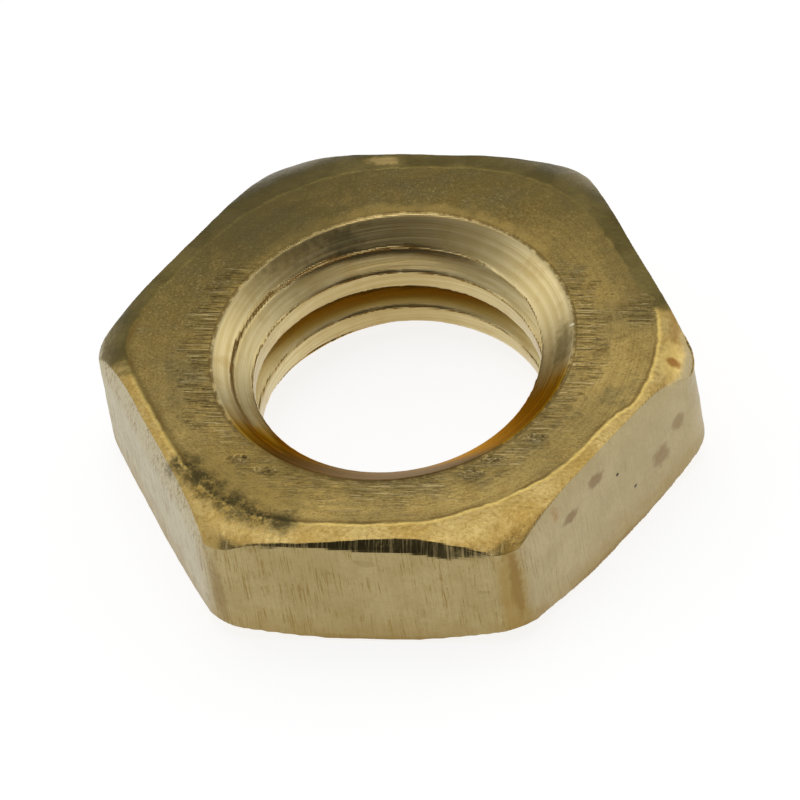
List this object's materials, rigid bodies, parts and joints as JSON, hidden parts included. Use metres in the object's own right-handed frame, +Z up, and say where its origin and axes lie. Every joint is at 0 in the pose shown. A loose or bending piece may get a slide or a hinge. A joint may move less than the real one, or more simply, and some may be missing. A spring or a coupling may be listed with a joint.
{
  "type": "thin hex nut",
  "caption": "Thin hexagon nut in worn brass, chamfered and countersunk on both faces, with a right-hand metric thread right through.",
  "frame": {"origin": "centre of the bottom face, on the thread's axis", "axes": "+Z up the thread's axis, +X towards a corner of the hexagon, +Y square to a pair of spanner flats"},
  "size_m": [0.0146, 0.013, 0.0035],
  "materials": {
    "worn_brass": "satin, tarnished, with turning rings on the faces, drawing lines on the flats and rubbed bright edges"
  },
  "bodies": {
    "root": {"hex_nut": "worn_brass"}
  },
  "joints": []
}
